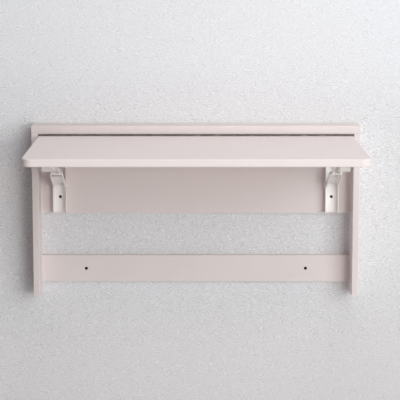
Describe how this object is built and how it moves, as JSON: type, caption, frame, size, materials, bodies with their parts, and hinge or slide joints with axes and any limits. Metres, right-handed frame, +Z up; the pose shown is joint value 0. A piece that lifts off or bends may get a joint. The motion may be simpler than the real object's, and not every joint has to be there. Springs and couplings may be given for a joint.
{
  "type": "fold-down wall desk",
  "caption": "Shallow wall-mounted frame with a hinged rectangular worktop that folds down flat, held level by folding sheet-steel channel brackets with jointed struts.",
  "frame": {"origin": "on the wall plane, midway between the two upper wall screw holes, which lie inside the two bracket legs", "axes": "+X to the right along the desk's width, +Y into the wall, +Z up"},
  "size_m": [0.9, 0.51, 0.475],
  "materials": {
    "frame_board": "satin pinkish-white paint on board, fine grain",
    "worktop_board": "satin pinkish-white paint on board, eased edges",
    "dowel_wood": "plain beech, fluted look",
    "fastener_steel": "zinc-plated steel",
    "hinge_steel": "dull dark steel",
    "bracket_paint": "white powder coat over sheet steel",
    "rivet_steel": "white-coated rivet heads",
    "cap_plastic": "moulded white plastic"
  },
  "bodies": {
    "frame": {"top_board": "frame_board", "left_stile": "frame_board", "right_stile": "frame_board", "upper_panel": "frame_board", "lower_rail": "frame_board", "frame_dowels": "dowel_wood", "cam_bolts": "fastener_steel", "cam_discs": "fastener_steel", "hinge_fixed_plate": "hinge_steel", "hinge_pin": "hinge_steel", "hinge_frame_screws": "fastener_steel", "left_leg": "bracket_paint", "left_leg_screws": "fastener_steel", "left_leg_rivets": "rivet_steel", "right_leg": "bracket_paint", "right_leg_screws": "fastener_steel", "right_leg_rivets": "rivet_steel"},
    "worktop": {"worktop": "worktop_board", "hinge_moving_plate": "hinge_steel", "hinge_leaf_screws": "fastener_steel", "left_arm": "bracket_paint", "left_arm_rivet": "rivet_steel", "left_arm_screws": "fastener_steel", "left_arm_cap": "cap_plastic", "right_arm": "bracket_paint", "right_arm_rivet": "rivet_steel", "right_arm_screws": "fastener_steel", "right_arm_cap": "cap_plastic"},
    "left_lower_link": {"left_lower_link": "bracket_paint", "left_knee_rivets": "rivet_steel"},
    "left_upper_link": {"left_upper_link": "bracket_paint", "left_knee_pin": "rivet_steel"},
    "right_lower_link": {"right_lower_link": "bracket_paint", "right_knee_rivets": "rivet_steel"},
    "right_upper_link": {"right_upper_link": "bracket_paint", "right_knee_pin": "rivet_steel"}
  },
  "joints": [
    {"name": "leaf_hinge", "type": "hinge", "parent": "frame", "child": "worktop", "pos_m": [0, -0.0825, 0.1815], "axis": [1, 0, 0], "range_deg": [0, 90]},
    {"name": "left_lower_hinge", "type": "hinge", "parent": "frame", "child": "left_lower_link", "pos_m": [-0.378, -0.029, 0.032], "axis": [1, 0, 0], "range_deg": [-58.96, 0]},
    {"name": "left_upper_hinge", "type": "hinge", "parent": "worktop", "child": "left_upper_link", "pos_m": [-0.378, -0.255, 0.146], "axis": [1, 0, 0], "range_deg": [0, 22.87]},
    {"name": "right_lower_hinge", "type": "hinge", "parent": "frame", "child": "right_lower_link", "pos_m": [0.378, -0.029, 0.032], "axis": [1, 0, 0], "range_deg": [-58.96, 0]},
    {"name": "right_upper_hinge", "type": "hinge", "parent": "worktop", "child": "right_upper_link", "pos_m": [0.378, -0.255, 0.146], "axis": [1, 0, 0], "range_deg": [0, 22.87]}
  ],
  "couplings": [
    {"joint": "left_lower_hinge", "follows": "leaf_hinge", "ratio": -0.65501},
    {"joint": "left_upper_hinge", "follows": "leaf_hinge", "ratio": 0.25399},
    {"joint": "right_lower_hinge", "follows": "leaf_hinge", "ratio": -0.65501},
    {"joint": "right_upper_hinge", "follows": "leaf_hinge", "ratio": 0.25399}
  ]
}
